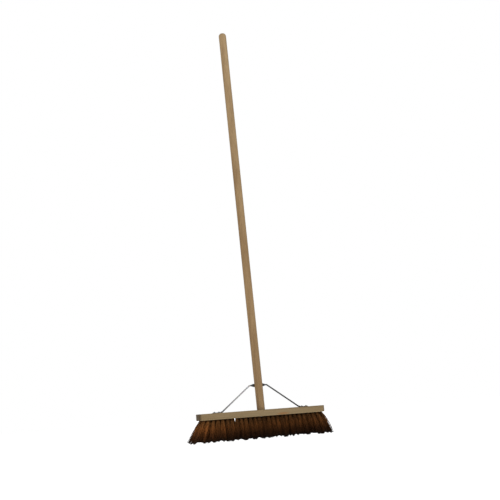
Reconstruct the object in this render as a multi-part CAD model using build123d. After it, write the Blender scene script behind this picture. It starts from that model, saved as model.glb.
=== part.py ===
from build123d import *
import math
import os

# Push broom: a flat wooden stock with a rigid raked handle, a steel rod stay and rows of coir tufts.
# Millimetres. +Z is up and +X runs along the stock. The origin is on the floor, under the middle
# of the stock, where the bristle tips rest. The handle leans back towards +Y.

# Stock
stock_length = 457.0
stock_width = 57.0
stock_thickness = 22.0
stock_corner_radius = 12.0
stock_edge_round = 1.5
bristle_length = 77.0

# Handle
handle_diameter = 28.5
handle_reach = 1454.0  # from the stock's top face to the tip, along the axis
handle_rake = 5.1  # degrees back from upright
handle_tip_round = 11.0
handle_foot_diameter = 28.0  # the foot is eased down a little, to drive into the stock
handle_eased_height = 110.0  # the straight shaft starts this far above the stock
shoulder_depth = 4.0  # how far the full foot is let into the stock
tenon_diameter = 16.0  # below the shoulder, turned down to pass between the tufts
tenon_depth = 20.0  # from the stock's top face

# Stay
rod_diameter = 5.0
strip_width = 11.0  # the rod's width where it is pressed flat
strip_thickness = 2.0
saddle_height = 86.0  # from the stock's top face, along the handle
ear_setback = 5.0  # the ears' centre line behind the handle's axis
ear_root = 17.0  # from the axis: where the flat ear starts to turn round
ear_end = 26.5
upper_bend = 31.5
foot_bend = 140.0
foot_flat_start = 147.5
foot_end = 175.0
foot_corner_radius = 5.0
bend_radius = 6.0

# Tufts
tuft_pitch = 16.3
row_pitch = 11.0
row_numbers = (-2, -1, 0, 1, 2)  # 0 is the middle row
tufts_each_side = 13
tuft_hole_radius = 3.75
tuft_hole_depth = 12.0
tuft_tip_radius = 7.3
end_leans = (26.0, 21.0)  # degrees, outward, of the last tuft at the left and right ends
lean_start = 128.0  # from the middle: where tufts start to lean outward
lean_power = 1.4
row_lean = 4.0  # degrees, added with each row from the middle
hole_to_tuft_wall = 1.0
bare_places = ((0, 7), (1, 7))  # tufts left out: the row, and the place in it from 0 at the left

# Fasteners
screw_shank_diameter = 3.5
screw_head_diameter = 7.6
screw_head_height = 2.6
screw_slot_width = 1.0
screw_slot_depth = 1.1
screw_point_radius = 0.3
foot_screw_length = 14.0
saddle_screw_length = 20.0
foot_screw_places = (152.0, 168.0)
foot_screw_turns = ((5.0, 55.0), (45.0, 95.0))  # where each slot was left, left foot then right
nail_diameter = 2.5
nail_length = 36.0
nail_head_diameter = 5.5
nail_head_height = 1.0
nail_below_top = 4.0
staple_wire = 1.3
staple_width = 6.0
staple_leg = 4.0

# Clearances, radial
fit_clearance = 0.05

# Worked out from the above
stock_top = bristle_length + stock_thickness
rod_radius = rod_diameter / 2
handle_radius = handle_diameter / 2
handle_foot_radius = handle_foot_diameter / 2
tenon_radius = tenon_diameter / 2
shank_radius = screw_shank_diameter / 2
last_tuft = tufts_each_side * tuft_pitch
eased_length = handle_eased_height + shoulder_depth
eased_share = shoulder_depth / eased_length
socket_radius = handle_foot_radius + (handle_radius - handle_foot_radius) * eased_share + fit_clearance
rake = math.radians(handle_rake)
handle_axis = Vector(0, math.sin(rake), math.cos(rake))
handle_foot = Vector(0, 0, stock_top)
handle_back = Vector(0, math.cos(rake), -math.sin(rake))


def on_handle(height):
    """A plane square to the handle: its X is the stock's X, and its Y points out of the handle's back."""
    return Plane(origin=handle_foot + handle_axis * height, x_dir=(1, 0, 0), z_dir=handle_axis)


def rod(start, direction, radius, length):
    """A round rod from a point, along a direction."""
    return extrude(Plane(origin=start, z_dir=direction) * Circle(radius), length)


def tuft_places(row):
    """The root centres of one row. Odd rows sit half a pitch along, and the tenon's hole is left clear."""
    odd = row % 2
    count = 2 * tufts_each_side + 1 - odd
    clear = tenon_radius + tuft_hole_radius + hole_to_tuft_wall
    axis_y = -tenon_depth / 2 * math.tan(rake)
    places = []
    for i in range(count):
        x = (i - (count - 1) / 2) * tuft_pitch
        y = row * row_pitch
        if math.hypot(x, y - axis_y) > clear and (row, i) not in bare_places:
            places.append((x, y))
    return places


def tip_shift(x, y):
    """How far a tuft's tip stands outward from its root, along X and along Y."""
    share = max(0.0, abs(x) - lean_start) / (last_tuft - lean_start)
    end_lean = end_leans[0] if x < 0 else end_leans[1]
    along = bristle_length * math.tan(math.radians(end_lean * share**lean_power))
    across = bristle_length * math.tan(math.radians(row_lean * y / row_pitch))
    return math.copysign(along, x), across


def tuft(x, y):
    """A tuft as one closed solid: a round plug in its hole, and a spreading brush down to the floor."""
    along, across = tip_shift(x, y)
    plug_radius = tuft_hole_radius - fit_clearance
    root = Plane((x, y, bristle_length)) * Circle(plug_radius)
    tip = Plane((x + along, y + across, 0)) * Circle(tuft_tip_radius)
    plug_length = tuft_hole_depth - staple_wire
    plug = rod((x, y, bristle_length), (0, 0, 1), plug_radius, plug_length)
    return loft([root, tip], ruled=True) + plug


def staple(x, y, slack=0.0):
    """The U of wire that pins a tuft: its crown lies on the fold and its legs stand up in the wood."""
    crown_z = bristle_length + tuft_hole_depth - staple_wire
    height = staple_wire + staple_leg + slack
    outer = Box(staple_width + 2 * slack, staple_wire + 2 * slack, height)
    outer = Pos(x, y, crown_z + height / 2) * outer
    if slack:
        return outer
    inner = Box(staple_width - 2 * staple_wire, staple_width, height)
    return outer - Pos(x, y, crown_z + staple_wire + height / 2) * inner


def screw(length):
    """A round-head slotted wood screw, head up, with its seat at the origin."""
    tip_length = 2 * shank_radius
    shank = Pos(0, 0, -(length - tip_length) / 2) * Cylinder(shank_radius, length - tip_length)
    point = Cone(screw_point_radius, shank_radius, tip_length)
    point = Pos(0, 0, -length + tip_length / 2) * point
    head_radius = screw_head_diameter / 2
    ball_radius = (head_radius**2 + screw_head_height**2) / (2 * screw_head_height)
    ball = Pos(0, 0, screw_head_height - ball_radius) * Sphere(ball_radius)
    head = ball & Pos(0, 0, screw_head_height / 2) * Box(*[screw_head_diameter] * 2, screw_head_height)
    slot_z = screw_head_height - screw_slot_depth / 2
    slot = Pos(0, 0, slot_z) * Box(screw_head_diameter, screw_slot_width, screw_slot_depth)
    return head - slot + shank + point


def foot_screw_seats():
    """Where the foot screws' heads sit, each turned its own way."""
    seats = []
    for side, turns in zip((-1, 1), foot_screw_turns):
        for x, turn in zip(foot_screw_places, turns):
            seats.append(Location((side * x, 0, stock_top + strip_thickness), (0, 0, turn)))
    return seats


def saddle_screw_seat():
    """The saddle screw's seat, at the back of the saddle, facing away from the handle."""
    back = handle_radius + fit_clearance + strip_thickness
    seat = Plane(
        origin=on_handle(saddle_height).from_local_coords((0, back, 0)), z_dir=handle_back
    )
    return seat.location


def nail_seat():
    """The nail's seat, on the stock's back edge, facing out."""
    return Plane(origin=(0, stock_width / 2, stock_top - nail_below_top), z_dir=(0, 1, 0)).location


def drill(seat, radius, length):
    """The pilot hole below a fastener's seat."""
    return seat * Pos(0, 0, -length / 2) * Cylinder(radius + fit_clearance, length)


def make_stock():
    """The wooden block, bored for the handle, the tufts, their staples, the screws and the nail."""
    outline = Pos(0, 0, bristle_length) * RectangleRounded(stock_length, stock_width, stock_corner_radius)
    block = extrude(outline, stock_thickness)
    rims = block.edges().group_by(Axis.Z)
    block = fillet(rims[0] + rims[-1], stock_edge_round)
    through = 2 * stock_thickness
    block -= rod(handle_foot - handle_axis * shoulder_depth, handle_axis, socket_radius, through)
    block -= rod(handle_foot - handle_axis * through, handle_axis, tenon_radius + fit_clearance, 2 * through)
    for row in row_numbers:
        bores = []
        for x, y in tuft_places(row):
            bores.append(rod((x, y, bristle_length), (0, 0, 1), tuft_hole_radius, tuft_hole_depth))
            bores.append(staple(x, y, fit_clearance))
        block -= bores
    for seat in foot_screw_seats():
        block -= drill(seat, shank_radius, foot_screw_length)
    return block - drill(nail_seat(), nail_diameter / 2, nail_length)


def make_handle():
    """The round shaft, domed at its tip, eased at its foot, with a tenon and pilot holes."""
    foot = on_handle(eased_length / 2 - shoulder_depth)
    foot = foot * Cone(handle_foot_radius, handle_radius, eased_length)
    tenon = extrude(on_handle(-tenon_depth) * Circle(tenon_radius), tenon_depth)
    straight = handle_reach - handle_eased_height
    shaft = extrude(on_handle(handle_eased_height) * Circle(handle_radius), straight)
    tip = shaft.edges().sort_by(Axis.Z)[-1]
    shaft = fillet(tip, handle_tip_round) + foot + tenon
    shaft -= drill(saddle_screw_seat(), shank_radius, saddle_screw_length)
    return shaft - drill(nail_seat(), nail_diameter / 2, nail_length)


def make_saddle():
    """The pressed strip that wraps the back of the handle, with a flat ear each side."""
    inner = handle_radius + fit_clearance
    outer = inner + strip_thickness
    front = ear_setback - strip_thickness / 2
    ring = Circle(outer) - Circle(inner)
    ring &= Pos(0, front + outer) * Rectangle(2 * outer, 2 * outer)
    shape = ring
    ear_inner = math.sqrt(inner**2 - front**2)
    for side in (-1, 1):
        middle = side * (ear_inner + ear_root) / 2
        shape += Pos(middle, ear_setback) * Rectangle(ear_root - ear_inner, strip_thickness)
    plane = on_handle(saddle_height - strip_width / 2)
    saddle = extrude(plane * shape, strip_width)
    return saddle - drill(saddle_screw_seat(), shank_radius, 2 * strip_thickness)


def make_leg(side):
    """One leg: the ear turning round, the straight rod, and the foot pressed flat on the stock."""
    at = on_handle(saddle_height).from_local_coords
    outward = Vector(side, 0, 0)
    ear_start = Plane(origin=at((side * ear_root, ear_setback, 0)), x_dir=handle_axis, z_dir=outward)
    ear_stop = Plane(origin=at((side * ear_end, ear_setback, 0)), x_dir=handle_axis, z_dir=outward)
    ear = loft([ear_start * Rectangle(strip_width, strip_thickness), ear_stop * Circle(rod_radius)])

    rod_z = stock_top + rod_radius
    rod_end = foot_bend + (foot_flat_start - foot_bend) / 3
    corners = [
        at((side * ear_end, ear_setback, 0)),
        at((side * upper_bend, ear_setback, 0)),
        Vector(side * foot_bend, 0, rod_z),
        Vector(side * rod_end, 0, rod_z),
    ]
    radii = (bend_radius, bend_radius)
    path = FilletPolyline(*corners, radius=radii)
    leg = sweep(ear_stop * Circle(rod_radius), path)

    flat_z = stock_top + strip_thickness / 2
    toe_start = Plane(origin=(side * rod_end, 0, rod_z), x_dir=(0, 1, 0), z_dir=outward)
    toe_stop = Plane(origin=(side * foot_flat_start, 0, flat_z), x_dir=(0, 1, 0), z_dir=outward)
    toe = loft([toe_start * Circle(rod_radius), toe_stop * Rectangle(strip_width, strip_thickness)])

    length = foot_end - foot_flat_start
    middle = side * (foot_flat_start + length / 2)
    sole = Pos(middle, 0, stock_top) * Rectangle(length, strip_width)
    foot = extrude(sole, strip_thickness)
    end_edges = foot.edges().filter_by(Axis.Z).sort_by(Axis.X)
    foot = fillet(end_edges[-2:] if side > 0 else end_edges[:2], foot_corner_radius)
    return ear + leg + toe + foot


def make_stay():
    """The one-piece steel brace, from foot to foot round the back of the handle."""
    stay = make_saddle()
    for side in (-1, 1):
        stay += make_leg(side)
    for seat in foot_screw_seats():
        stay -= drill(seat, shank_radius, 2 * strip_thickness)
    return stay


def make_nail():
    """A round wire nail, driven in from the stock's back edge."""
    shank = Pos(0, 0, -nail_length / 2) * Cylinder(nail_diameter / 2, nail_length)
    head = Pos(0, 0, nail_head_height / 2) * Cylinder(nail_head_diameter / 2, nail_head_height)
    return nail_seat() * (shank + head)


def main():
    parts = {
        "stock": make_stock(),
        "handle": make_handle(),
        "stay": make_stay(),
        "foot_screws": Compound([seat * screw(foot_screw_length) for seat in foot_screw_seats()]),
        "saddle_screw": saddle_screw_seat() * screw(saddle_screw_length),
        "handle_nail": make_nail(),
    }
    for number, row in enumerate(row_numbers, 1):
        places = tuft_places(row)
        parts[f"tufts_row_{number}"] = Compound([tuft(x, y) for x, y in places])
        parts[f"staples_row_{number}"] = Compound([staple(x, y) for x, y in places])
    os.makedirs("parts", exist_ok=True)
    for name, shape in parts.items():
        export_step(shape, f"parts/{name}.step")


main()
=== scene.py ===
"""Looks of the push broom: fibres for its tufts, worn wood, steel, a pale floor and soft light."""

import math
import random

import bmesh
import bpy
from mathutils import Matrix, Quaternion, Vector


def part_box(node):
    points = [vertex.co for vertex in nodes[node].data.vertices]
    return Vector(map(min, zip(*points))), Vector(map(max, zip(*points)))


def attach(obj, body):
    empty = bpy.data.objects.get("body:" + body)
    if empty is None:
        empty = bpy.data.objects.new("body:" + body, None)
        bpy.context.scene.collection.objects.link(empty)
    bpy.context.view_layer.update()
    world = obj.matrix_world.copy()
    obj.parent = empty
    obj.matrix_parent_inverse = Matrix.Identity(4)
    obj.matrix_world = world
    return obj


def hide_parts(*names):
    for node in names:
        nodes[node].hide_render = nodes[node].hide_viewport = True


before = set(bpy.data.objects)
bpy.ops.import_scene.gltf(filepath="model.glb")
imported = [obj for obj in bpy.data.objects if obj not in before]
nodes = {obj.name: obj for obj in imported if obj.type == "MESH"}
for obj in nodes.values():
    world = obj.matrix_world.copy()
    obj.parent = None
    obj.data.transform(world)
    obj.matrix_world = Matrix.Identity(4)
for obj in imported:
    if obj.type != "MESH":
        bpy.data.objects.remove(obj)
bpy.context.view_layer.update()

# Places, read from the frame
STOCK_LOW, STOCK_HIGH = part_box("stock")
HANDLE_LOW, HANDLE_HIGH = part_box("handle")
STOCK_TOP = STOCK_HIGH.z
STOCK_BOTTOM = STOCK_LOW.z
STOCK_HALF = STOCK_HIGH.x
TUFT_ROWS = sorted(n for n in nodes if n.startswith("tufts_row_"))

# Camera, about the middle of the stock's top face
CAMERA_AZIMUTH = -18.7  # degrees; 0 looks along +Y
CAMERA_DISTANCE = 3.117
CAMERA_AIM_SIDE = 0.0036  # to the camera's right of the stock's middle
CAMERA_AIM_HEIGHT = 0.5646  # above the stock's top
CAMERA_ROLL = -4.306  # degrees
CAMERA_LENS = 63.65  # mm
SENSOR = 36.0  # mm
VIEW_LIMIT = 50

# Light: the room's level, how much brighter its left, front and ceiling are, and the floor's own glow
SKY_LEVEL = 0.36
SKY_LEFT = -0.06
SKY_FRONT = 0.10
SKY_UP = 0.32
SKY_DIMMEST = 0.04
FLOOR_GLOW = 0.86
FLOOR_HALF = 12.0
KEY_POWER = 19
KEY_PLACE = (0.5, -3.3, 2.5)
KEY_AIM = (0, 0, 0.7)
KEY_SIZE = 1.8
FILL_POWER = 8
FILL_PLACE = (-2.6, -1.8, 1.6)
FILL_AIM = (0, 0, 0.5)
FILL_SIZE = 2.2

# Coir fibres
LOCKS_PER_TUFT = 11
FIBRES_PER_LOCK = 21
FIBRE_RADIUS = 0.00026
THICKNESS_RANGE = (0.7, 1.25)  # of that radius, from fibre to fibre
FIBRE_TAPER = 0.1
FIBRE_SIDES = 3
FIBRE_STEPS = 5
FIBRE_SPREAD = (0.95, 1.25)  # of the tuft's tip radius, from tuft to tuft
LOCK_REACH = 1.15  # how far out a lock's tip may stand, as a share of that spread
ROOT_PULL = 0.25  # how much a fibre's tip keeps to its root's side of the tuft
FIBRE_WANDER = 0.28
FIBRE_BOW = 0.0042
FLARE = 0.0008  # how far the fibres spread as they leave their hole
FLARE_SHARE = 0.2  # of the fibre's length, over which they do
FIBRE_CURL = 0.0011
CURL_LEAST = 0.2  # of the most
CURL_RATES = (7, 6)  # radians along the fibre, in X and in Y
FIBRE_LENGTH_VARIES = 0.0009
LOCK_LENGTH_VARIES = 0.0015
WEAR = 0.007  # the most that the tips are worn away, in notches along the stock
WEAR_PITCH = 0.0056  # from one random height to the next
WEAR_SLANT = 0.34  # how far aslant the notches run, which lines them up in the main view
TUFT_SWAY = 0.0045  # how far a whole tuft's tip strays
ROOT_DEPTH = 0.002  # how far the fibres run up into their hole
STRAY_SHARE = 0.03
STRAY_REACH = 1.4
END_BOWS = (-0.0010, 0.0055)  # how far the end tufts curve outwards along X, left and right
END_SPREAD = 0.2  # how much wider the last tufts spread
END_START = 0.128  # from the middle: where the end tufts' curve and spread begin
LOCK_TONE_SHARE = 0.45  # of a fibre's tone, the rest is its own
SEED = 7


# ---------------------------------------------------------------- node helpers

def new_material(name):
    """A new material, its node tree and its Principled shader."""
    material = bpy.data.materials.new(name)
    material.use_nodes = True
    tree = material.node_tree
    shader = tree.nodes["Principled BSDF"]
    return material, tree, shader


def add(tree, kind, inputs=None, **settings):
    """A node with its settings and its inputs, each a value or another node's output."""
    node = tree.nodes.new(kind)
    for key, value in settings.items():
        setattr(node, key, value)
    for key, value in (inputs or {}).items():
        if isinstance(value, bpy.types.NodeSocket):
            tree.links.new(value, node.inputs[key])
        else:
            node.inputs[key].default_value = value
    return node


def noise(tree, where, scale, detail=3.0, roughness=0.5, stretch=(1, 1, 1), distortion=0.0):
    """Noise in object space, stretched along an axis; its Fac output."""
    placed = add(tree, "ShaderNodeMapping", {"Vector": where, "Scale": stretch})
    node = add(tree, "ShaderNodeTexNoise", {
        "Vector": placed.outputs[0], "Scale": scale, "Detail": detail,
        "Roughness": roughness, "Distortion": distortion})
    return node.outputs["Fac"]


def ramp(tree, fac, stops):
    """A straight colour ramp through (place, colour) stops; its Color output."""
    node = add(tree, "ShaderNodeValToRGB", {"Fac": fac})
    elements = node.color_ramp.elements
    while len(elements) < len(stops):
        elements.new(0.5)
    for element, (place, colour) in zip(elements, stops):
        element.position = place
        element.color = (*colour, 1.0)
    return node.outputs["Color"]


def grey(value):
    return (value, value, value)


def mix(tree, fac, a, b, blend="MIX"):
    """Mixes two colours."""
    node = add(tree, "ShaderNodeMix", data_type="RGBA", blend_type=blend)
    for key, value in ((0, fac), (6, a), (7, b)):
        if isinstance(value, bpy.types.NodeSocket):
            tree.links.new(value, node.inputs[key])
        elif key == 0:
            node.inputs[key].default_value = value
        else:
            node.inputs[key].default_value = (*value, 1.0)
    return node.outputs[2]


def maths(tree, operation, a, b=0.0, c=0.0):
    """One sum of up to three values; its output."""
    node = add(tree, "ShaderNodeMath", operation=operation)
    for index, value in enumerate((a, b, c)):
        if isinstance(value, bpy.types.NodeSocket):
            tree.links.new(value, node.inputs[index])
        else:
            node.inputs[index].default_value = value
    return node.outputs[0]


def between(tree, value, low, high, kind="SMOOTHSTEP"):
    """0 at low, 1 at high, smooth or straight between."""
    node = add(tree, "ShaderNodeMapRange", {"Value": value, "From Min": low, "From Max": high},
               interpolation_type=kind)
    return node.outputs[0]


def bump(tree, height, strength, distance, normal=None):
    """A normal roughened by a height, on top of another normal if one is given."""
    inputs = {"Height": height, "Strength": strength, "Distance": distance}
    if normal is not None:
        inputs["Normal"] = normal
    return add(tree, "ShaderNodeBump", inputs).outputs[0]


def srgb(r, g, b):
    """Linear colour of an sRGB triple in 0 to 255."""
    def one(c):
        c /= 255
        return c / 12.92 if c <= 0.04045 else ((c + 0.055) / 1.055) ** 2.4
    return (one(r), one(g), one(b))


def parts_of(tree, vector):
    """The X, Y and Z of a vector, as three outputs."""
    return add(tree, "ShaderNodeSeparateXYZ", {"Vector": vector}).outputs


def stretched(axis, amount):
    """A noise scale that draws the pattern out along one axis."""
    scale = [1.0, 1.0, 1.0]
    scale[axis] = amount
    return scale


def dress(name, material):
    """Gives a CAD node's object one material."""
    mesh = nodes[name].data
    mesh.materials.clear()
    mesh.materials.append(material)


# ---------------------------------------------------------------- materials

def wood_colour(tree, place, along, tones, streak_scale, ring_scale):
    """Pale wood with its grain along one axis: broad bands, fine streaks and short dark pores."""
    bands = noise(tree, place, ring_scale, 2.0, 0.45, stretched(along, 0.03), 0.6)
    streaks = noise(tree, place, streak_scale, 4.0, 0.6, stretched(along, 0.012))
    pores = noise(tree, place, streak_scale * 5, 2.0, 0.6, stretched(along, 0.05))
    light, middle, dark = tones
    colour = ramp(tree, bands, [(0.30, dark), (0.50, middle), (0.72, light)])
    fine_tone = ramp(tree, streaks, [(0.30, grey(0.80)), (0.52, grey(1.0)), (0.75, grey(1.08))])
    colour = mix(tree, 1.0, colour, fine_tone, "MULTIPLY")
    pore_tone = ramp(tree, pores, [(0.28, grey(0.72)), (0.40, grey(1.0))])
    colour = mix(tree, 0.8, colour, pore_tone, "MULTIPLY")
    return colour, streaks, pores


def handle_material():
    """Smooth pale wood with faint patches of grime, and painted shade that darkens its lower half."""
    material, tree, shader = new_material("handle_wood")
    place = add(tree, "ShaderNodeTexCoord").outputs["Object"]
    tones = (srgb(170, 143, 105), srgb(160, 133, 96), srgb(146, 118, 82))
    colour, streaks, pores = wood_colour(tree, place, 2, tones, 420, 60)
    height = parts_of(tree, place)[2]
    # painted shade: the wood is darkened towards the bottom, as if lit from above
    low = between(tree, height, HANDLE_HIGH.z * 0.85, HANDLE_HIGH.z * 0.46, "LINEAR")
    colour = mix(tree, low, colour, mix(tree, 1.0, colour, (0.76, 0.70, 0.62), "MULTIPLY"))
    grip = noise(tree, place, 6, 3.0, 0.6, (1, 1, 0.5))
    grime = ramp(tree, grip, [(0.42, grey(1.0)), (0.70, (0.90, 0.88, 0.84))])
    colour = mix(tree, 1.0, colour, grime, "MULTIPLY")
    tree.links.new(colour, shader.inputs["Base Color"])
    rough = ramp(tree, streaks, [(0.3, grey(0.62)), (0.7, grey(0.48))])
    tree.links.new(rough, shader.inputs["Roughness"])
    shader.inputs["Specular IOR Level"].default_value = 0.35
    normal = bump(tree, streaks, 0.35, 0.0004)
    normal = bump(tree, pores, 0.25, 0.0003, normal)
    tree.links.new(normal, shader.inputs["Normal"])
    return material


def stock_material():
    """Duller, rougher wood with faint stains, one orange fleck and dark end faces, partly the end grain's
    own tone and partly painted shade.
    """
    material, tree, shader = new_material("stock_wood")
    place = add(tree, "ShaderNodeTexCoord").outputs["Object"]
    tones = (srgb(142, 123, 92), srgb(133, 114, 83), srgb(121, 99, 68))
    colour, streaks, pores = wood_colour(tree, place, 0, tones, 330, 55)
    reach = maths(tree, "ABSOLUTE", parts_of(tree, place)[0])
    facing = add(tree, "ShaderNodeNewGeometry").outputs["Normal"]
    end_facing = maths(tree, "ABSOLUTE", parts_of(tree, facing)[0])
    # the end faces are painted dark: partly the end grain's own darker tone, partly painted shade
    end_grain_and_shade = maths(tree, "MULTIPLY", between(tree, end_facing, 0.25, 0.9),
                      between(tree, reach, STOCK_HALF - 0.016, STOCK_HALF - 0.008))
    rings = add(tree, "ShaderNodeTexWave", {
        "Vector": place, "Scale": 90, "Distortion": 3.0, "Detail": 2.0, "Detail Scale": 0.6},
        wave_type="BANDS", bands_direction="Z").outputs["Fac"]
    end_grain_and_shade_colour = ramp(tree, rings, [(0.2, srgb(68, 53, 33)), (0.8, srgb(90, 72, 46))])
    colour = mix(tree, end_grain_and_shade, colour, end_grain_and_shade_colour)
    patch = noise(tree, place, 9, 3.0, 0.6, (0.5, 1, 1))
    stain = ramp(tree, patch, [(0.40, grey(1.0)), (0.68, (0.88, 0.84, 0.78))])
    colour = mix(tree, 1.0, colour, stain, "MULTIPLY")
    colour = mix(tree, knot_mask(tree, place), colour, srgb(134, 97, 59))
    tree.links.new(colour, shader.inputs["Base Color"])
    rough = ramp(tree, streaks, [(0.3, grey(0.78)), (0.7, grey(0.62))])
    tree.links.new(rough, shader.inputs["Roughness"])
    shader.inputs["Specular IOR Level"].default_value = 0.25
    normal = bump(tree, streaks, 0.4, 0.0005)
    normal = bump(tree, pores, 0.3, 0.0003, normal)
    tree.links.new(normal, shader.inputs["Normal"])
    return material


def knot_mask(tree, place):
    """A small orange fleck on the stock's front edge, low down and right of the handle."""
    centre = Vector((0.071, STOCK_LOW.y, STOCK_BOTTOM + 0.0045))
    shifted = add(tree, "ShaderNodeMapping", {"Vector": place, "Location": -centre}).outputs[0]
    squashed = add(tree, "ShaderNodeMapping", {"Vector": shifted, "Scale": (34, 40, 230)}).outputs[0]
    distance = add(tree, "ShaderNodeVectorMath", {0: squashed}, operation="LENGTH").outputs["Value"]
    return between(tree, distance, 1.1, 0.3)


def painted_shade_mask(tree, place):
    """Painted shade: the right leg and the saddle are painted dark, standing in for the darker light they
    reflect; the left leg stays bright, least at its foot.
    """
    side, _, height = parts_of(tree, place)
    right = between(tree, side, -0.037, -0.024)
    low = between(tree, height, STOCK_TOP + 0.07, STOCK_TOP + 0.002)
    patch = ramp(tree, noise(tree, place, 60, 3.0, 0.6), [(0.35, grey(0.85)), (0.65, grey(1.0))])
    mask = maths(tree, "MAXIMUM", maths(tree, "MULTIPLY", low, 0.5), right)
    return maths(tree, "MULTIPLY", mask, patch)


def steel_material(name, dark, light, roughness, dents, painted_shade_tone=None):
    """Cloudy, lightly scratched steel, with a darker tone painted as shade where the stay's reflection is
    dark.
    """
    material, tree, shader = new_material(name)
    place = add(tree, "ShaderNodeTexCoord").outputs["Object"]
    clouds = noise(tree, place, 90, 4.0, 0.65)
    spangle = add(tree, "ShaderNodeTexVoronoi", {"Vector": place, "Scale": 260}).outputs["Color"]
    tone = ramp(tree, clouds, [(0.32, dark), (0.68, light)])
    tone = mix(tree, 0.10, tone, spangle, "OVERLAY")
    if painted_shade_tone:
        # painted shade: a darker tone over the right leg, the saddle and the left leg's foot
        tone = mix(tree, painted_shade_mask(tree, place), tone, painted_shade_tone)
    tree.links.new(tone, shader.inputs["Base Color"])
    shader.inputs["Metallic"].default_value = 1.0
    rough = ramp(tree, clouds, [(0.3, grey(roughness + 0.12)), (0.7, grey(roughness))])
    tree.links.new(rough, shader.inputs["Roughness"])
    scratches = noise(tree, place, 700, 3.0, 0.7)
    tree.links.new(bump(tree, scratches, dents, 0.0002), shader.inputs["Normal"])
    return material


def coir_material():
    """Reddish-brown fibre with painted shade and light: a painted shadow at the roots under the stock,
    nearly black at the cut tips, palest at the left end, darkest in the middle.
    """
    material, tree, shader = new_material("coir_fibre")
    along = add(tree, "ShaderNodeAttribute", attribute_name="along").outputs["Fac"]
    fibre = add(tree, "ShaderNodeAttribute", attribute_name="fibre").outputs["Fac"]
    tuft = add(tree, "ShaderNodeAttribute", attribute_name="tuft").outputs["Fac"]
    # painted shade along each fibre: a painted shadow under the stock at the roots, and the tips painted
    # nearly black as shade
    length = ramp(tree, along, [
        (0.00, srgb(60, 38, 19)), (0.12, srgb(108, 72, 38)), (0.40, srgb(115, 71, 34)),
        (0.72, srgb(69, 40, 18)), (1.00, srgb(13, 7, 3))])
    each = ramp(tree, fibre, [(0.1, grey(0.42)), (0.5, grey(0.92)), (0.75, (1.35, 1.32, 1.26)),
                              (0.95, (2.1, 2.0, 1.85))])
    group = ramp(tree, tuft, [(0.0, (0.78, 0.78, 0.79)), (1.0, (1.22, 1.20, 1.16))])
    colour = mix(tree, 1.0, length, each, "MULTIPLY")
    colour = mix(tree, 1.0, colour, group, "MULTIPLY")
    place = add(tree, "ShaderNodeTexCoord").outputs["Object"]
    # painted light and shade across the stock: palest at the left end, darkest in the middle
    share = between(tree, parts_of(tree, place)[0], -0.26, 0.26, "LINEAR")
    ends = ramp(tree, share, [(0.0, grey(2.05)), (0.22, grey(1.14)), (0.48, grey(0.72)), (0.72, grey(0.82)),
                              (1.0, grey(1.05))])
    colour = mix(tree, 1.0, colour, ends, "MULTIPLY")
    tree.links.new(colour, shader.inputs["Base Color"])
    rough = ramp(tree, noise(tree, place, 900, 2.0), [(0.3, grey(0.75)), (0.7, grey(0.55))])
    tree.links.new(rough, shader.inputs["Roughness"])
    tree.links.new(bump(tree, noise(tree, place, 2500, 2.0), 0.3, 0.0001), shader.inputs["Normal"])
    shader.inputs["Specular IOR Level"].default_value = 0.08
    return material


# ---------------------------------------------------------------- coir fibres

def tuft_ends(node):
    """The root centre, tip centre, tip radius and root radius of each tuft in a CAD row's mesh."""
    mesh = bmesh.new()
    mesh.from_mesh(nodes[node].data)
    bmesh.ops.remove_doubles(mesh, verts=mesh.verts, dist=1e-5)
    tufts, seen = [], set()
    for start in mesh.verts:
        if start in seen:
            continue
        stack, group = [start], []
        seen.add(start)
        while stack:
            vert = stack.pop()
            group.append(vert.co.copy())
            for edge in vert.link_edges:
                other = edge.other_vert(vert)
                if other not in seen:
                    seen.add(other)
                    stack.append(other)
        tip_z = min(p.z for p in group)
        tip = [p for p in group if p.z < tip_z + 1e-4]
        root = [p for p in group if abs(p.z - STOCK_BOTTOM) < 1e-4]
        tip_centre = sum(tip, Vector()) / len(tip)
        root_centre = sum(root, Vector()) / len(root)
        tufts.append((root_centre, tip_centre,
                      max((p - tip_centre).length for p in tip),
                      max((p - root_centre).length for p in root)))
    mesh.free()
    tufts.sort(key=lambda t: t[0].x)
    return tufts


def disc(random_source):
    """A point in the unit disc, even by area."""
    radius = math.sqrt(random_source.random())
    turn = random_source.uniform(0, 2 * math.pi)
    return radius * math.cos(turn), radius * math.sin(turn)


def worn_away(place):
    """How short the fibres are cut at a place along the stock: straight slopes between random heights."""
    steps, share = divmod(place / WEAR_PITCH, 1.0)
    heights = [random.Random(SEED * 1000 + int(steps) + k).random() for k in (0, 1)]
    return WEAR * (heights[0] * (1 - share) + heights[1] * share)


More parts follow.
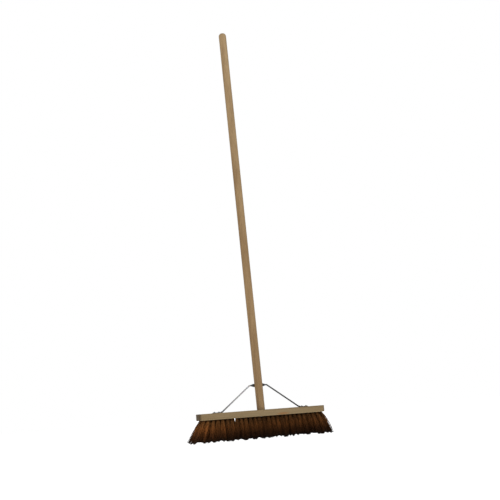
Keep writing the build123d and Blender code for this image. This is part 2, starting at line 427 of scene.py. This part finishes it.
def fibre_line(root, tip, lock, root_radius, reach, end_bow, source):
    """Points down one fibre, from inside its hole to its cut end near its lock's place at the tip."""
    dx, dy = disc(source)
    start = root + Vector((dx * root_radius, dy * root_radius, ROOT_DEPTH))
    ex = lock[0] + ROOT_PULL * dx + FIBRE_WANDER * source.uniform(-1, 1)
    ey = lock[1] + ROOT_PULL * dy + FIBRE_WANDER * source.uniform(-1, 1)
    if source.random() < STRAY_SHARE:
        reach *= STRAY_REACH
    end = tip + Vector((ex * reach, ey * reach, 0))
    end.z += abs(source.gauss(0, FIBRE_LENGTH_VARIES)) + worn_away(end.x - WEAR_SLANT * end.y)
    bow_x, bow_y = disc(source)
    curl_turn = source.uniform(0, 2 * math.pi)
    curl = source.uniform(CURL_LEAST, 1.0) * FIBRE_CURL
    points = []
    for step in range(FIBRE_STEPS + 1):
        t = step / FIBRE_STEPS
        point = start.lerp(end, t)
        swell = math.sin(math.pi * t)
        point.x += bow_x * swell * FIBRE_BOW + swell**0.5 * end_bow
        point.y += bow_y * swell * FIBRE_BOW
        spread = FLARE * min(1.0, t / FLARE_SHARE)
        point.x += dx * spread + curl * t * math.sin(CURL_RATES[0] * t + curl_turn)
        point.y += dy * spread + curl * t * math.cos(CURL_RATES[1] * t + curl_turn)
        points.append(point)
    return points


def tuft_fibres(root, tip, root_radius, tip_radius, source):
    """Every fibre of one tuft, in locks that each end at their own height: (points, lock tone)."""
    end_share = max(0.0, abs(root.x) - END_START) / (STOCK_HALF - END_START)
    reach = tip_radius * source.uniform(*FIBRE_SPREAD) * (1.0 + END_SPREAD * end_share)
    sway_x, sway_y = disc(source)
    tip = tip + Vector((sway_x * TUFT_SWAY, sway_y * TUFT_SWAY, 0))
    end_bow = END_BOWS[0 if root.x < 0 else 1] * end_share
    for _ in range(LOCKS_PER_TUFT):
        lock_x, lock_y = disc(source)
        lock = (LOCK_REACH * lock_x, LOCK_REACH * lock_y)
        lock_tip = tip + Vector((0, 0, source.random() * LOCK_LENGTH_VARIES))
        tone = source.random()
        for _ in range(FIBRES_PER_LOCK):
            yield fibre_line(root, lock_tip, lock, root_radius, reach, end_bow, source), tone


def make_row(node, material, source):
    """One row's fibres as one mesh, each fibre a thin tapered prism with closed ends."""
    verts, faces, along, fibre, tuft = [], [], [], [], []
    ring = [(math.cos(2 * math.pi * k / FIBRE_SIDES), math.sin(2 * math.pi * k / FIBRE_SIDES))
            for k in range(FIBRE_SIDES)]
    for root, tip, tip_radius, root_radius in tuft_ends(node):
        tuft_tone = source.random()
        for line, lock_tone in tuft_fibres(root, tip, root_radius, tip_radius, source):
            tone = LOCK_TONE_SHARE * lock_tone + (1 - LOCK_TONE_SHARE) * source.random()
            thick = FIBRE_RADIUS * source.uniform(*THICKNESS_RANGE)
            base = len(verts)
            for step, point in enumerate(line):
                t = step / FIBRE_STEPS
                radius = thick * (1.0 - FIBRE_TAPER * t)
                for cx, cy in ring:
                    verts.append((point.x + cx * radius, point.y + cy * radius, point.z))
                    along.append(t)
                    fibre.append(tone)
                    tuft.append(tuft_tone)
            for step in range(FIBRE_STEPS):
                a = base + step * FIBRE_SIDES
                for k in range(FIBRE_SIDES):
                    b = (k + 1) % FIBRE_SIDES
                    faces.append((a + k, a + FIBRE_SIDES + k, a + FIBRE_SIDES + b, a + b))
            last = base + FIBRE_STEPS * FIBRE_SIDES
            faces.append(tuple(base + k for k in range(FIBRE_SIDES)))
            faces.append(tuple(last + k for k in reversed(range(FIBRE_SIDES))))
    mesh = bpy.data.meshes.new("fibres_" + node)
    mesh.from_pydata(verts, [], faces)
    for name, values in (("along", along), ("fibre", fibre), ("tuft", tuft)):
        layer = mesh.attributes.new(name, "FLOAT", "POINT")
        layer.data.foreach_set("value", values)
    mesh.polygons.foreach_set("use_smooth", [True] * len(mesh.polygons))
    mesh.materials.append(material)
    row = bpy.data.objects.new("fibres_" + node.removeprefix("tufts_"), mesh)
    bpy.context.scene.collection.objects.link(row)
    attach(row, "root")
    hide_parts(node)


# ---------------------------------------------------------------- stage, light, camera

def make_floor():
    """A plain pale floor that glows a little, so that it looks as white as the background."""
    half = FLOOR_HALF
    mesh = bpy.data.meshes.new("floor")
    mesh.from_pydata([(-half, -half, 0), (half, -half, 0), (half, half, 0), (-half, half, 0)],
                     [], [(0, 1, 2, 3)])
    floor = bpy.data.objects.new("floor", mesh)
    bpy.context.scene.collection.objects.link(floor)
    material, tree, shader = new_material("pale_floor")
    place = add(tree, "ShaderNodeTexCoord").outputs["Object"]
    tone = ramp(tree, noise(tree, place, 3, 2.0), [(0.3, grey(0.86)), (0.7, grey(0.90))])
    tree.links.new(tone, shader.inputs["Base Color"])
    shader.inputs["Roughness"].default_value = 0.9
    shader.inputs["Specular IOR Level"].default_value = 0.1
    shader.inputs["Emission Color"].default_value = (1.0, 1.0, 1.0, 1.0)
    shader.inputs["Emission Strength"].default_value = FLOOR_GLOW
    mesh.materials.append(material)


def make_world():
    """A white background for the camera; the light that it gives is dimmer and comes mostly from above."""
    world = bpy.data.worlds.new("studio")
    world.use_nodes = True
    tree = world.node_tree
    right, back, up = parts_of(tree, add(tree, "ShaderNodeTexCoord").outputs["Generated"])
    side = maths(tree, "MULTIPLY_ADD", right, -SKY_LEFT, SKY_LEVEL)
    front = maths(tree, "MULTIPLY_ADD", back, -SKY_FRONT, side)
    above = maths(tree, "MULTIPLY_ADD", up, SKY_UP, front)
    room = maths(tree, "MAXIMUM", above, SKY_DIMMEST)
    seen = add(tree, "ShaderNodeLightPath").outputs["Is Camera Ray"]
    strength = maths(tree, "MAXIMUM", room, seen)
    tree.links.new(strength, tree.nodes["Background"].inputs["Strength"])
    tree.nodes["Background"].inputs["Color"].default_value = (1.0, 1.0, 1.0, 1.0)
    bpy.context.scene.world = world


def soft_light(name, place, aim, size, power):
    lamp = bpy.data.lights.new(name, "AREA")
    lamp.shape = "DISK"
    lamp.size = size
    lamp.energy = power
    light = bpy.data.objects.new(name, lamp)
    light.location = place
    light.rotation_mode = "QUATERNION"
    light.rotation_quaternion = (Vector(aim) - Vector(place)).to_track_quat("-Z", "Y")
    bpy.context.scene.collection.objects.link(light)


def make_camera():
    turn = math.radians(CAMERA_AZIMUTH)
    back = Vector((math.sin(turn), -math.cos(turn), 0))
    right = Vector((math.cos(turn), math.sin(turn), 0))
    pivot = Vector((0, 0, STOCK_TOP))
    lens = bpy.data.cameras.new("camera")
    lens.lens = CAMERA_LENS
    lens.sensor_width = SENSOR
    lens.clip_end = VIEW_LIMIT
    camera = bpy.data.objects.new("camera", lens)
    camera.location = pivot + back * CAMERA_DISTANCE
    aim = pivot + right * CAMERA_AIM_SIDE + Vector((0, 0, CAMERA_AIM_HEIGHT))
    look = (aim - camera.location).to_track_quat("-Z", "Y")
    camera.rotation_mode = "QUATERNION"
    camera.rotation_quaternion = look @ Quaternion((0, 0, 1), math.radians(CAMERA_ROLL))
    bpy.context.scene.collection.objects.link(camera)
    bpy.context.scene.camera = camera


def make_light():
    soft_light("key", KEY_PLACE, KEY_AIM, KEY_SIZE, KEY_POWER)
    soft_light("fill", FILL_PLACE, FILL_AIM, FILL_SIZE, FILL_POWER)


def set_colours():
    view = bpy.context.scene.view_settings
    view.view_transform = "Standard"
    view.look = "None"
    view.exposure = 0.0
    view.gamma = 1.0


def dress_cad():
    """Materials for the CAD nodes whose shape is already right."""
    # the last tone is painted shade for the stay's right leg and saddle
    stay = steel_material("stay_steel", grey(0.34), grey(0.52), 0.30, 0.10, grey(0.045))
    screws = steel_material("screw_steel", grey(0.26), grey(0.40), 0.36, 0.15)
    staples = steel_material("staple_wire", grey(0.45), grey(0.62), 0.35, 0.05)
    dress("handle", handle_material())
    dress("stock", stock_material())
    dress("stay", stay)
    for name in ("foot_screws", "saddle_screw", "handle_nail"):
        dress(name, screws)
    for name in nodes:
        if name.startswith("staples_row_"):
            dress(name, staples)


dress_cad()
coir = coir_material()
source = random.Random(SEED)
for row in TUFT_ROWS:
    make_row(row, coir, source)
make_floor()
make_world()
make_light()
make_camera()
set_colours()
